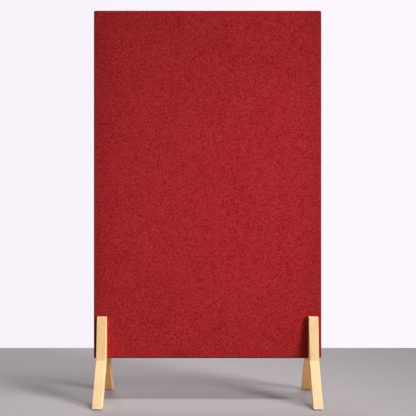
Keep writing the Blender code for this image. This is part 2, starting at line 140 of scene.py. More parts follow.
class Finish:
    # a material and its nodes
    def __init__(self, name):
        self.material = bpy.data.materials.new(name)
        self.material.use_nodes = True
        self.tree = self.material.node_tree
        self.shader = self.tree.nodes["Principled BSDF"]
        self.spot = Wire(self, self.tree.nodes.new("ShaderNodeTexCoord").outputs["Object"])

    def feed(self, socket, value):
        if isinstance(value, Wire):
            self.tree.links.new(value.socket, socket)
        else:
            socket.default_value = value

    def node(self, kind, settings=None, values=None, output=0):
        # any node: its settings first, then what its sockets hold or are linked to
        made = self.tree.nodes.new("ShaderNode" + kind)
        for name, value in (settings or {}).items():
            setattr(made, name, value)
        for name, value in (values or {}).items():
            self.feed(made.inputs[name], value)
        return Wire(self, made.outputs[output])

    def math(self, operation, *terms):
        return self.node("Math", {"operation": operation}, dict(enumerate(terms)))

    def space(self, size, centre=(0, 0, 0), turn=(0, 0, 0)):
        # places measured from a centre, turned, in units of a feature's size along each axis
        sizes = size if isinstance(size, tuple) else (size,) * 3
        values = {"Vector": self.spot, "Location": centre, "Rotation": turn, "Scale": sizes}
        return self.node("Mapping", {"vector_type": "TEXTURE"}, values)

    def noise(self, size, detail=2.0, roughness=0.5, twist=0.0, **place):
        values = {"Vector": self.space(size, **place), "Scale": 1.0, "Detail": detail}
        values |= {"Roughness": roughness, "Distortion": twist}
        return self.node("TexNoise", None, values)

    def cells(self, size, smoothness):
        # distance to the nearest of scattered points, rounded where two are as near
        values = {"Vector": self.space(size), "Scale": 1.0, "Smoothness": smoothness}
        return self.node("TexVoronoi", {"feature": "SMOOTH_F1"}, values)

    def ease(self, value, low, high):
        # a smooth step from 0 to 1 as value goes from low to high
        values = {"Value": value, "From Min": low, "From Max": high}
        return self.node("MapRange", {"interpolation_type": "SMOOTHSTEP"}, values)

    def axis(self, name, vector=None):
        # one coordinate of a vector, of the place on the object if none is given
        return self.node("SeparateXYZ", None, {0: vector or self.spot}, output=name)

    def facing(self, *direction):
        # how squarely the surface faces a direction, 0 to 1 either way
        values = {0: self.node("NewGeometry", output="Normal"), 1: direction}
        return abs(self.node("VectorMath", {"operation": "DOT_PRODUCT"}, values, output="Value"))

    def mix(self, share, first, second):
        # from the first colour to the second as share goes from 0 to 1; plain ones are a screen's
        ends = [end if isinstance(end, Wire) else screenColour(end) for end in (first, second)]
        return self.node("Mix", {"data_type": "RGBA"}, {0: share, 6: ends[0], 7: ends[1]}, 2)

    def bump(self, height, depth):
        # a relief of that depth in metres
        return self.node("Bump", None, {"Height": height, "Distance": depth})

    def set(self, **values):
        # sockets of the shader, named in one word
        for name, value in values.items():
            self.feed(self.shader.inputs[shaderSockets[name]], value)
        return self.material

    def tint(self, look, pattern, relief=None, **values):
        # the pattern runs from the look's dark colour to its light one over its range, and stands out
        tone = self.ease(pattern, *look["range"])
        normal = self.bump(relief or tone, look["depth"])
        return self.set(colour=self.mix(tone, look["dark"], look["light"]), normal=normal, **values)


# Stage and lamps

stage = {
    "floor": (178, 172, 174),
    "floorRoughness": 0.85,
    "floorSpecular": 0.2,
    # the wall glows lighter towards the right: painted light
    "wallLeft": (247, 242, 249),
    "wallRight": (254, 248, 254),
    "wallTurns": (-1.0, 1.0),  # metres aside between which the left colour turns into the right one
    "reach": 7.0,    # metres from the object to the floor's edge
    "wallHeight": 6.0,
    "around": 0.10,  # the world's strength on the object
}


def flatPlate(name, corners, material):
    mesh = bpy.data.meshes.new(name)
    mesh.from_pydata(corners, [], [(0, 1, 2, 3)])
    mesh.materials.append(material)
    addObject(name, mesh)


def floorFinish():
    return Finish("plain floor").set(colour=screenColour(stage["floor"]),
                                     roughness=stage["floorRoughness"], specular=stage["floorSpecular"])


def wallFinish():
    # the wall shows its colour from its front alone and is clear to every other ray
    finish = Finish("plain wall")
    rays = ("Is Camera Ray", "Is Glossy Ray", "Is Transmission Ray")
    seen = [finish.node("LightPath", output=ray) for ray in rays]
    front = 1 - finish.node("NewGeometry", output="Backfacing")
    share = finish.math("MINIMUM", seen[0] + seen[1] + seen[2], 1.0) * front
    clear = finish.node("BsdfTransparent")
    # painted light: the wall lighter towards the right
    aside = finish.ease(finish.axis("X"), *stage["wallTurns"])
    colour = finish.mix(aside, stage["wallLeft"], stage["wallRight"])
    glow = finish.node("Emission", None, {"Color": colour, "Strength": 1.0})
    shown = finish.node("MixShader", None, {0: share, 1: clear, 2: glow})
    finish.feed(finish.tree.nodes["Material Output"].inputs["Surface"], shown)
    return finish.material


def makeStage(wallY):
    reach, high = stage["reach"], stage["wallHeight"]
    ground = [(-reach, -reach, 0), (reach, -reach, 0), (reach, reach, 0), (-reach, reach, 0)]
    flatPlate("floor", ground, floorFinish())
    upright = [(-reach, wallY, 0), (reach, wallY, 0), (reach, wallY, high), (-reach, wallY, high)]
    flatPlate("backdrop", upright, wallFinish())


lamps = {
    # where each lamp stands and looks, its side, the spread of its beam in degrees, and its share of the
    # plain level on a face towards it, were its beam not narrowed
    "key": {"place": (3.06, -2.39, 1.71), "aim": (-0.5, 0, 0.5), "side": 1.2, "spread": 46, "share": 0.080},
    "overhead": {"place": (1.40, -0.70, 6.0), "aim": (0, 0, 0), "side": 1.0, "spread": 180, "share": 0.445},
    "rear": {"place": (-1.2, 3.2, 2.6), "aim": (0, 0, 0.6), "side": 1.8, "spread": 180, "share": 0.38},
}


def makeLamp(name, lamp):
    # a lamp's power = share x (pi x distance) squared, so that white cloth facing it renders as that share
    data = bpy.data.lights.new(name, "AREA")
    data.shape = "SQUARE"
    data.size = lamp["side"]
    data.spread = math.radians(lamp["spread"])
    data.energy = lamp["share"] * (math.pi * math.dist(lamp["place"], lamp["aim"])) ** 2
    obj = addObject(name, data)
    obj.location = lamp["place"]
    beam = Vector(lamp["aim"]) - Vector(lamp["place"])
    obj.rotation_euler = beam.to_track_quat("-Z", "Y").to_euler()


def makeLight():
    # the camera sees the wall's colour behind everything, and the other rays a dimmer white all round
    for name, lamp in lamps.items():
        makeLamp(name, lamp)
    world = bpy.data.worlds.new("studio")
    world.use_nodes = True
    bpy.context.scene.world = world
    tree = world.node_tree
    around = tree.nodes["Background"]
    around.inputs["Color"].default_value = (1, 1, 1, 1)
    around.inputs["Strength"].default_value = stage["around"]
    shown = tree.nodes.new("ShaderNodeBackground")
    shown.inputs["Color"].default_value = screenColour(stage["wallRight"])
    choice = tree.nodes.new("ShaderNodeMixShader")
    path = tree.nodes.new("ShaderNodeLightPath")
    tree.links.new(path.outputs["Is Camera Ray"], choice.inputs[0])
    tree.links.new(around.outputs[0], choice.inputs[1])
    tree.links.new(shown.outputs[0], choice.inputs[2])
    tree.links.new(choice.outputs[0], tree.nodes["World Output"].inputs["Surface"])
    bpy.context.scene.view_settings.view_transform = "Standard"


print("camera, stage and lamps")
makeStage(makeCamera(photo))
makeLight()


# Noise for the modelled relief

noiseTile = {
    "cells": 1024,
    "step": 0.0013,  # metres between the values, so that a tile is wider than the panel
    "shift": 1.0,    # metres from the tile's corner to a face's middle, on both axes
}


def bandNoise(wave, spread, seed):
    # seeded white noise, kept near one wavelength by a bell over the logarithm of the pitch
    count, step = noiseTile["cells"], noiseTile["step"]
    white = np.random.default_rng(seed).standard_normal((count, count))
    line = np.fft.fftfreq(count, step)
    pitch = np.hypot(line[:, None], line[None, :])
    pitch[0, 0] = 1 / (count * step)
    share = np.exp(-0.5 * (np.log2(pitch * wave) / spread) ** 2)
    field = np.fft.ifft2(np.fft.fft2(white) * share).real
    return field / field.std()


def lookUp(field, across, up, steps=(noiseTile["step"], noiseTile["step"])):
    # the field's value at places in metres, blended between its four nearest values, and repeated beyond
    rows, columns = field.shape
    a, b = across / steps[0], up / steps[1]
    i, j = np.floor(a).astype(int), np.floor(b).astype(int)
    u, v = a - i, b - j
    near = field[i % rows, j % columns] * (1 - v) + field[i % rows, (j + 1) % columns] * v
    far = field[(i + 1) % rows, j % columns] * (1 - v) + field[(i + 1) % rows, (j + 1) % columns] * v
    return near * (1 - u) + far * u


def overFace(field, points):
    # the field's value at each point of a face
    return lookUp(field, points[:, 0] + noiseTile["shift"], points[:, 1] + noiseTile["shift"])


def bell(distance, width):
    # 1 at no distance, falling to nothing over a few widths
    return np.exp(-(distance / width) ** 2)


# Rounded plates: every sheet, slab and pad here is a gridded face with rings carried round its rim

def gridLines(half, corner, cell, turns):
    # lines across a plate: the place of the corner's centre or of the straight part, and the share of
    # the corner's radius from there, -1 to 1
    count = max(2, round(2 * (half - corner) / cell))
    core = np.linspace(corner - half, half - corner, count + 1)
    rise = np.linspace(0, 1, turns + 1)[1:]
    places = np.concatenate([np.full(turns, core[0]), core, np.full(turns, core[-1])])
    return places, np.concatenate([-rise[::-1], np.zeros(count + 1), rise])


def roundedGrid(halves, plan, radius):
    # the square corners of the grid are pressed into quarter discs: x share = s sqrt(1 - t t / 2)
    across, up = (gridLines(half, plan["corner"], plan["cell"], plan["turns"]) for half in halves)
    places = np.stack(np.meshgrid(across[0], up[0], indexing="ij"), axis=-1)
    s, t = np.meshgrid(across[1], up[1], indexing="ij")
    reach = np.stack([s * np.sqrt(1 - t * t / 2), t * np.sqrt(1 - s * s / 2)], axis=-1)
    return (places + radius * reach).reshape(-1, 2), reach.reshape(-1, 2), s.shape


def rimOf(shape):
    # the grid's rim, anticlockwise from its first corner, as flat indices
    index = np.arange(shape[0] * shape[1]).reshape(shape)
    return np.concatenate([index[:-1, 0], index[-1, :-1], index[:0:-1, -1], index[0, :0:-1]])


def gridFaces(shape):
    index = np.arange(shape[0] * shape[1]).reshape(shape)
    corners = [index[:-1, :-1], index[1:, :-1], index[1:, 1:], index[:-1, 1:]]
    return np.stack(corners, axis=-1).reshape(-1, 4)


def rollOver(inset, height, radius, start, end, steps):
    # rings on an arc of the section, after its start: inset, height, and the way that its relief pushes,
    # outwards and up; the last column shrinks a ring towards the plate's middle
    turn = np.radians(np.linspace(start, end, steps + 1)[1:])
    out, lift = np.sin(turn), np.cos(turn)
    return np.column_stack([inset - radius * out, height + radius * lift, out, lift, np.zeros(steps)])


def straightDown(inset, heights):
    ones = np.ones(len(heights))
    return np.column_stack([inset * ones, heights, ones, 0 * ones, 0 * ones])


def buildPlate(name, plan, relief, axes, centre, look, node):
    # the face's rim shrinks or grows round the corners' centres to make each ring; the back is a grid
    # like the face, or one plain polygon. relief(part, points, along) says how far each point stands out
    corner, inner = plan["corner"], plan["corner"] - plan["inset"]
    face, reach, shape = roundedGrid(plan["halves"], plan, inner)
    rim = rimOf(shape)
    way = reach[rim]
    core = face[rim] - inner * way
    steps = np.linalg.norm(np.diff(core + corner * way, axis=0), axis=1)
    along = np.concatenate([[0], np.cumsum(steps)])
    flat = np.column_stack([face, np.full(len(face), plan["height"])])
    flat[:, 2] += relief("face", flat, None)
    levels, loops, count = [flat], [rim], len(flat)
    for part, rows in plan["rings"]:
        for inset, height, out, lift, shrink in rows:
            outline = (core + (corner - inset) * way) * (1 - shrink)
            ring = np.column_stack([outline, np.full(len(rim), height)])
            push = np.column_stack([out * way, np.full(len(rim), lift)])
            levels.append(ring + relief(part, ring, along)[:, None] * push)
            loops.append(count + np.arange(len(rim)))
            count += len(rim)
    faces = [gridFaces(shape)]
    for near, far in zip(loops, loops[1:]):
        faces.append(np.stack([near, far, np.roll(far, -1), np.roll(near, -1)], axis=-1))
    closing = [loops[-1][::-1].tolist()]
    if plan["back"] == "grid":
        within = np.setdiff1d(np.arange(len(face)), rim)
        number = np.zeros(len(face), int)
        number[rim] = loops[-1]
        number[within] = count + np.arange(len(within))
        back = np.column_stack([face, np.full(len(face), levels[-1][0, 2])])
        back[:, 2] -= relief("back", back, None)
        levels.append(back[within])
        faces.append(number[gridFaces(shape)][:, ::-1])
        closing = []
    points = np.concatenate(levels) @ np.array(axes, float) + np.array(centre)
    faces = np.concatenate(faces).tolist() + closing
    if np.linalg.det(np.array(axes, float)) < 0:
        faces = [loop[::-1] for loop in faces]
    return meshPiece(name, points, faces, look, node)


def placePiece(name, mesh, look, node=None, sharp=50):
    # a mesh becomes a piece, smooth between its sharp edges: its look is a material and a slot's name,
    # and it stands in for a node if one is given. The slot's name is not used
    mesh.shade_smooth()
    mesh.set_sharp_from_angle(angle=math.radians(sharp))
    mesh.materials.append(look[0])
    piece = addObject(name, mesh)
    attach(piece, "root")
    if node:
        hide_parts(node)
    return piece


def meshPiece(name, points, faces, look, node=None, sharp=50):
    mesh = bpy.data.meshes.new(name)
    mesh.from_pydata(points.tolist(), [], faces)
    return placePiece(name, mesh, look, node, sharp)


def facingOut(sign):
    # a plate's axes across, up and outwards when its face looks to the front (-1) or the rear (1)
    return (1, 0, 0), (0, 0, 1), (0, sign, 0)


def boxOf(node):
    # a node's middle and its size along each axis
    low, high = (np.array(corner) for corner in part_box(node))
    return (low + high) / 2, high - low


# Fabric cover

cloth = {
    "dark": (146, 0, 3),
    "light": (187, 54, 57),
    "wearAndShadeDark": (66, 0, 4),   # along the panel's edges: wear and painted shade
    "wearAndShadeLight": (108, 16, 20),
    "wearAndShade": 0.92,
    "underShade": (34, 0, 3),     # painted shade along the lower edge
    "underShadeShare": 0.6,
    "underShadeReach": 0.0065,
    "shade": 0.14,            # share of the darker edge colour in the slow painted shade towards both sides
    "shadeReach": 0.11,       # metres over which it fades
    "slub": 0.022,            # metres across the slow unevenness of the yarn
    "slubShare": 0.43,        # of the darker edge colour that it brings, above its level
    "slubLevel": 0.25,
    "mottle": 0.0062,
    "knot": 0.0038,           # metres across one knot of the yarn
    "knotRound": 0.6,
    "knotRange": (0.1, 0.75),
    "cloud": 0.16,
    "fibre": (0.0030, 0.0004),  # length and breadth of the fibres' streaks
    "yarn": 0.0016,           # metres from one yarn to the next
    "stray": 4,               # yarns over which they stray
    "uneven": 2.6,            # radians by which they do
    "aslant": (0.69, 0.71),   # how squarely a face looks aside or up where its weave changes axes
    "crossing": (-0.12, 0.12),  # where weft turns into warp
    "ragged": 0.9,            # how far the mottle shifts that
    "tone": (0.45, 0.5, 0.35, 0.45, 0.1),  # shares of mottle, knots, fibres, yarns and clouds
    "bump": (0.3, 0.4, 0.12, 0.45),  # likewise
    "middle": 0.6,            # tone where there is no grain
    "contrast": 1.64,
    "depth": 0.00040,         # of the bump
    "gloss": {"roughness": 0.95, "specular": 0.1, "sheen": 0.04, "sheenRoughness": 0.5},
    "sheenTint": (205, 110, 108),
    "cell": 0.0041,           # metres between grid lines
    "turns": 7,               # grid lines round each corner
    "thickness": 0.0012,
    "edge": 0.004,            # radius of the edge between face and side
    "corner": 0.006,          # radius of the panel's corners
    "edgeSteps": 6,
    "wallSteps": 7,
    "waves": (0.20, 0.5),     # metres from wave to wave of the padding, and their spread in octaves
    "knots": (0.0095, 0.35),  # likewise
    "puckers": (0.018, 0.4),
    "swell": 0.00030,         # height of the waves
    "relief": 0.00008,        # height of the knots that are modelled
    "sideRelief": 0.6,        # share of that on the sides
    "hem": 0.010,             # metres over which the waves and knots fade in from the rim
    "press": 0.016,           # metres over which the cloth rises from under a leg bar
    "seamGap": 0.00004,       # between the two halves
    "pucker": 0.00025,        # depth of the puckers along the seam
    "puckerReach": 0.007,
    "puckerLength": 3,        # times their width
    "liningShrinks": (0.02, 0.06, 0.12, 0.22, 0.36, 0.55),
    "seamAllowance": 0.025,   # added all round when a half was cut
}


def weaveOf(finish, mottle):
    # yarns cross along two axes of the face: a and b are sines over their pitch, the warp lies on top
    # where a b > 0, and each yarn is highest along its middle and where it lies on top
    beside = finish.ease(finish.facing(1.0, 0.0, 0.0), *cloth["aslant"])
    level = finish.ease(finish.facing(0.0, 0.0, 1.0), *cloth["aslant"])
    x, y, z = (finish.axis(name) for name in ("X", "Y", "Z"))
    stray = finish.noise(cloth["yarn"] * cloth["stray"]) - 0.5
    step = math.pi / cloth["yarn"]
    a = finish.math("SINE", (x + beside * (y - x)) * step + cloth["uneven"] * stray)
    b = finish.math("SINE", (z + level * (y - z)) * step - cloth["uneven"] * stray)
    onTop = finish.ease(a * b + cloth["ragged"] * (mottle - 0.5), *cloth["crossing"])
    long, thin = cloth["fibre"]
    warp = finish.noise((thin, thin, long))
    weft = finish.noise((long, thin, thin))
    fibres = weft + onTop * (warp - weft)
    low, high = abs(b) * (0.5 + 0.5 * abs(a)), abs(a) * (0.5 + 0.5 * abs(b))
    return low + onTop * (high - low), fibres


def clothFinish():
    # a crepe weave: knots, yarns, fibres and slow clouds share the tone and the bump. The edges are darker,
    # partly worn and partly painted shade. Painted shade lies along the lower edge and deepens towards both
    # sides, and slubs of the yarn vary the tone slowly
    finish = Finish("red wool cloth")
    mottle = finish.noise(cloth["mottle"], detail=1.5, roughness=0.55, twist=0.6)
    knot = 1 - finish.ease(finish.cells(cloth["knot"], cloth["knotRound"]), *cloth["knotRange"])
    yarns, fibres = weaveOf(finish, mottle)
    cloud = finish.noise(cloth["cloud"])
    grain = blend([part - 0.5 for part in (mottle, knot, fibres, yarns, cloud)], cloth["tone"])
    tone = cloth["middle"] + cloth["contrast"] * grain
    colour = finish.mix(tone, cloth["dark"], cloth["light"])
    wearAndPaintedLight = finish.mix(tone, cloth["wearAndShadeDark"], cloth["wearAndShadeLight"])
    low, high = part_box("front_cover")
    height, edge = finish.axis("Z"), cloth["edge"]
    aside = abs(finish.axis("X")) - high[0]
    beyond = finish.math("MAXIMUM", aside, finish.math("MAXIMUM", height - high[2], low[2] - height))
    outer = finish.ease(abs(finish.axis("Y")), -low[1] - edge * 1.5, -low[1] - edge / 2)
    slub = finish.noise(cloth["slub"], roughness=0.6)
    # painted shade, deepening towards both sides; the yarn's slow unevenness adds to it
    shade = cloth["shade"] * finish.ease(aside, -cloth["shadeReach"], 0.0)
    shade = shade + cloth["slubShare"] * (slub - cloth["slubLevel"])
    # the rounded edges are darker: partly wear, partly painted shade
    wearAndShade = cloth["wearAndShade"] * finish.ease(beyond, -edge, 0.0) * outer
    colour = finish.mix(finish.math("MAXIMUM", wearAndShade, shade), colour, wearAndPaintedLight)
    # painted shade along the lower edge
    under = finish.ease(low[2] - height, -cloth["underShadeReach"], -cloth["underShadeReach"] / 3)
    colour = finish.mix(cloth["underShadeShare"] * under * outer, colour, cloth["underShade"])
    normal = finish.bump(blend((mottle, knot, fibres, yarns), cloth["bump"]), cloth["depth"])
    return finish.set(colour=colour, normal=normal, sheenTint=screenColour(cloth["sheenTint"]),
                      **cloth["gloss"])


press = {
    # the simulation of the cloth over its wadding
    "cell": 0.020,   # metres between the points of the sheet
    "frames": 20,
    "settings": {
        "mass": 0.3, "use_pressure": True, "uniform_pressure_force": 4.0,
        "tension_stiffness": 15.0, "compression_stiffness": 15.0, "vertex_group_mass": "held",
    },
    "most": 0.0022,  # that the wadding may lift the cloth
    "gentle": 5.0,   # how slowly the lift nears that
}


def barPlace():
    # how far aside a leg bar's middle is, half its width, and its top's height
    low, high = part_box("front_right_leg")
    return (low[0] + high[0]) / 2, (high[0] - low[0]) / 2, high[2]


def simulateRise(halves, middle):
    # a sheet held at its rim and under the leg bars is blown out from behind, without weight, and its
    # rise d is capped: most (1 - exp(-d / (gentle most)))
    barMiddle, barHalf, barTop = barPlace()
    counts = np.round(2 * halves / press["cell"]).astype(int)
    lines = [np.linspace(-half, half, count + 1) for half, count in zip(halves, counts)]
    x, z = np.meshgrid(*lines, indexing="ij")
    mesh = bpy.data.meshes.new("blown sheet")
    points = np.column_stack([x.ravel(), np.zeros(x.size), z.ravel()])
    mesh.from_pydata(points.tolist(), [], gridFaces(x.shape).tolist())
    sheet = addObject("blown sheet", mesh)
    rim = np.maximum(np.abs(x) - halves[0], np.abs(z) - halves[1]) > -press["cell"] / 2
    barred = (np.abs(np.abs(x) - barMiddle) < barHalf) & (z + middle < barTop)
    held = sheet.vertex_groups.new(name="held")
    held.add(np.flatnonzero((rim | barred).ravel()).tolist(), 1.0, "REPLACE")
    blown = sheet.modifiers.new("blown", "CLOTH")
    blown.point_cache.frame_end = press["frames"]
    blown.settings.effector_weights.gravity = 0
    for name, value in press["settings"].items():
        setattr(blown.settings, name, value)
    for step in range(1, press["frames"] + 1):
        bpy.context.scene.frame_set(step)
    blownPoints = np.empty(points.size)
    shown = sheet.evaluated_get(bpy.context.evaluated_depsgraph_get())
    shown.data.vertices.foreach_get("co", blownPoints)
    bpy.context.scene.frame_set(1)
    bpy.data.objects.remove(sheet)
    bpy.data.meshes.remove(mesh)
    rise = np.abs(blownPoints.reshape(-1, 3)[:, 1]).reshape(x.shape)
    return press["most"] * (1 - np.exp(-rise / (press["gentle"] * press["most"]))), 2 * halves / counts


def clothLift(halves, middle, risen, seed):
    # how far the padding lifts the cloth: the simulated rise and slow waves, flat at the rim and under
    # the leg bars; and where the cloth is free of the bars, 0 to 1
    barMiddle, barHalf, barTop = barPlace()
    waves = bandNoise(*cloth["waves"], seed)
    rise, steps = risen
    flat = halves - cloth["edge"]

    def free(points):
        beside = np.maximum(np.abs(np.abs(points[:, 0]) - barMiddle) - barHalf, 0)
        above = np.maximum(points[:, 1] + middle - barTop, 0)
        return 1 - bell(np.hypot(beside, above), cloth["press"])

    def lift(points):
        rim = np.min(flat - np.abs(points[:, :2]), axis=1)
        inside = 1 - bell(np.maximum(rim, 0), cloth["hem"])
        crown = lookUp(rise, points[:, 0] + flat[0], points[:, 1] + flat[1], steps) * (rim > 0)
        return (crown + cloth["swell"] * overFace(waves, points) * inside) * free(points)

    return lift, free


def makeCover(node, sign, risen, seed, look):
    # half of the cover, one closed sheet: face, rounded edge, side, its edge at the seam, and the lining
    # back up the side and over the face. The face has crown, waves and knots; the side puckers at the
    # seam, where its edge is pushed in and out alone
    centre, size = boxOf(node)
    halves = size[[0, 2]] / 2
    depth = abs(centre[1]) + size[1] / 2
    seam = cloth["seamGap"] / 2
    edge, wall = cloth["edge"], cloth["thickness"]
    roll = wall / 2
    sewn = rollOver(roll, seam + roll, roll, 90, 180, 3)
    sewn[:, 3] = 0
    outside = np.concatenate([
        rollOver(edge, depth - edge, edge, 0, 90, cloth["edgeSteps"]),
        straightDown(0.0, np.linspace(depth - edge, seam + roll, cloth["wallSteps"] + 1)[1:]),
        sewn,
    ])
    inside = np.concatenate([
        rollOver(roll, seam + roll, roll, 180, 270, 2),
        straightDown(wall, np.array([depth - edge])),
        rollOver(edge, depth - edge, edge - wall, 90, 0, 3),
        [(edge, depth - wall, 0.0, 1.0, shrink) for shrink in cloth["liningShrinks"]],
    ])
    plan = {**cloth, "halves": halves, "inset": edge, "height": depth, "back": "polygon",
            "rings": [("side", outside), ("lining", inside)]}
    lift, free = clothLift(halves, centre[2], risen, seed)
    knots = bandNoise(*cloth["knots"], seed + 1)
    puckers = bandNoise(*cloth["puckers"], seed + 2)

    def relief(part, points, along):
        if part == "face":
            return lift(points) + cloth["relief"] * overFace(knots, points) * free(points)
        if part == "lining":
            return lift(points) * (points[:, 2] > depth - wall - roll / 10)
        tuck = cloth["pucker"] * (lookUp(puckers, along, points[:, 2] / cloth["puckerLength"]) - 1)
        grain = cloth["relief"] * cloth["sideRelief"] * (lookUp(knots, along, points[:, 2]) - 1)
        return grain + tuck * bell(points[:, 2] - seam, cloth["puckerReach"])

    name, start = node.replace("cover", "cloth"), (0, 0, centre[2])
    piece = buildPlate(name, plan, relief, facingOut(sign), start, look, node)


# Wadding, absorbing slabs, closing strip and foot pads

soft = {
    # radius of each one's edges and corners, metres between grid lines, and lines round each corner
    "wadding": {"edge": 0.0012, "corner": 0.004, "cell": 0.012, "turns": 3},
    "slab": {"edge": 0.0025, "corner": 0.005, "cell": 0.010, "turns": 3},
    "strip": {"edge": 0.00045, "corner": 0.004, "cell": 0.003, "turns": 4},
    "pad": {"edge": 0.0007, "corner": 0.004, "cell": 0.0012, "turns": 6},
    "loft": 0.7,            # share of the cloth's rise that the wadding fills
    "crumb": 0.0004,        # unevenness of the slabs' faces
    "crumbs": (0.03, 0.6),  # metres from one to the next, and their spread in octaves
    "wave": 0.00012,        # of the strip
    "waves": (0.03, 0.5),   # likewise
    "seed": 5,              # of the waves, and of the crumbs after the face's own
    "bulge": 0.0003,        # of the pads' sides
}

timbers = ["left_stile", "right_stile", "top_rail", "mid_rail", "bottom_rail"]

fluff = {
    # colours, length and breadth of a fibre, and depth of the bump
    "white wadding": {"dark": (205, 202, 194), "light": (244, 242, 237),
                      "fibre": (0.004, 0.0005), "depth": 0.0003},
    "grey fibre slab": {"dark": (112, 116, 112), "light": (176, 180, 174),
                        "fibre": (0.006, 0.0008), "depth": 0.0005},
    "dark felt": {"dark": (34, 31, 29), "light": (84, 78, 73),
                  "fibre": (0.003, 0.0004), "depth": 0.0002},
    "range": (0.45, 0.8),
    "clump": 3,  # fibre lengths across a clump
    "clumpShare": 0.4,
}


def fluffFinish(name):
    # tangled fibres: the highest of streaks in three directions, over soft clumps
    finish = Finish(name)
    long, thin = fluff[name]["fibre"]
    sizes = ((long, thin, thin), (thin, thin, long), (thin, long, thin))
    streaks = [finish.noise(size) for size in sizes]
    tangle = finish.math("MAXIMUM", finish.math("MAXIMUM", streaks[0], streaks[1]), streaks[2])
    clump = finish.noise(long * fluff["clump"])
    pattern = tangle + fluff["clumpShare"] * (clump - 0.5)
    return finish.tint({**fluff, **fluff[name]}, pattern, roughness=0.95, specular=0.1, sheen=0.1)


def buildSlab(kind, node, name, axes, relief, look):
    # a soft slab inside its node's box, its side round at both edges
    shape = soft[kind]
    edge = shape["edge"]
    halves = np.abs(axes) @ boxOf(node)[1] / 2
    half = halves[2]
    side = np.concatenate([
        rollOver(edge, half - edge, edge, 0, 90, 3),
        straightDown(0.0, np.array([edge - half])),
        rollOver(edge, edge - half, edge, 90, 180, 3),
    ])
    plan = {**shape, "halves": halves[:2], "inset": edge, "height": half, "back": "grid",
            "rings": [("side", side)]}
    return buildPlate(name, plan, relief, axes, boxOf(node)[0], look, node)


def makePadding(node, sign, risen, seed, look):
    # a sheet of wadding: flat on the frame, lofted under the cloth where nothing presses it
    centre, size = boxOf(node)
    coverHalves = boxOf(node.replace("wadding", "cover"))[1][[0, 2]] / 2
    lift = clothLift(coverHalves, centre[2], risen, seed)[0]

    def relief(part, points, along):
        return soft["loft"] * lift(points) if part == "face" else np.zeros(len(points))

    piece = buildSlab("wadding", node, node.replace("wadding", "padding"), facingOut(sign), relief, look)


def makeAbsorber(node, sign, seed, look):
    # a slab cut from felted fibre: rounded edges and faces a little uneven, never past its solid
    halves = boxOf(node)[1][[0, 2]] / 2
    crumbs = bandNoise(*soft["crumbs"], seed)

    def relief(part, points, along):
        if part == "side":
            return np.zeros(len(points))
        rim = np.min(halves - np.abs(points[:, :2]), axis=1) - soft["slab"]["edge"]
        inside = 1 - bell(np.maximum(rim, 0), soft["slab"]["corner"])
        return -soft["crumb"] * np.abs(overFace(crumbs, points)) * inside

    piece = buildSlab("slab", node, node.replace("absorber", "slab"), facingOut(sign), relief, look)


def makeStrip(node, look):
    # the strip under the panel: a thin band with soft edges, waved a little between its staples
    size = boxOf(node)[1]
    waves = bandNoise(*soft["waves"], soft["seed"])

    def relief(part, points, along):
        if part == "side":
            return np.zeros(len(points))
        wave = soft["wave"] * overFace(waves, points)
        return wave if part == "face" else -np.abs(wave)

    piece = buildSlab("strip", node, "closing_strip", ((1, 0, 0), (0, 1, 0), (0, 0, -1)), relief, look)


def makePad(node, look):
    # a felt pad whose side bulges between the foot and the floor
    half = boxOf(node)[1][2] / 2

    def relief(part, points, along):
        if part != "side":
            return np.zeros(len(points))
        return soft["bulge"] * (1 - (points[:, 2] / half) ** 2)

    name = node.replace("foot_pad", "felt_pad")
    piece = buildSlab("pad", node, name, ((1, 0, 0), (0, 1, 0), (0, 0, 1)), relief, look)


print("padding, slabs and fabric cover")
redCloth = (clothFinish(), "cover_fabric")
whiteFluff = (fluffFinish("white wadding"), "wadding")
greyFluff = (fluffFinish("grey fibre slab"), "absorber")
darkFelt = (fluffFinish("dark felt"), "foot_felt")
coverMiddle, coverSize = boxOf("front_cover")
risen = simulateRise(coverSize[[0, 2]] / 2 - cloth["edge"], coverMiddle[2])
for face, sign, seed in (("front", -1, 11), ("rear", 1, 47)):
    makePadding(f"{face}_wadding", sign, risen, seed, whiteFluff)
    for bay in ("upper", "lower"):
        makeAbsorber(f"{face}_{bay}_absorber", sign, seed + soft["seed"], greyFluff)
    makeCover(f"{face}_cover", sign, risen, seed, redCloth)
    for side in ("left", "right"):
        makePad(f"{face}_{side}_foot_pad", darkFelt)
makeStrip("bottom_strip", redCloth)


# Small shapes repeated many times: staples under the closing strip, stitches along the seam

staple = {
    "pitch": 0.042,   # metres from one to the next
    "offset": 0.004,  # of the rear row from the front one
    "inset": 0.0045,  # from the strip's edge
    "crown": 0.010,
    "leg": 0.006,
    "thick": 0.0007,
    "wide": 0.0012,
    "bend": 0.0008,
    "sink": 0.0002,   # gap under the crown
}

stitch = {
    "pitch": 0.0052,
    "along": (-0.0009, -0.0007, 0.0, 0.0007, 0.0009),
    "across": (-0.0019, -0.0015, 0.0, 0.0015, 0.0019),
    "out": (-0.0007, 0.0000, 0.0002, 0.0000, -0.0007),
    "radius": 0.00028,  # of the thread
    "sides": 5,
    "lowest": 0.012,    # from the panel's lower edge
    "strand": (0.0005, 0.0012, 0.0005),
    "twist": 0.6,
    "dark": (112, 10, 14),
    "light": (186, 52, 54),
    "range": (0.35, 0.65),
    "depth": 0.0001,
}

stray = {"degrees": 5.0, "seed": 3}    # how far staples and stitches are turned off their line


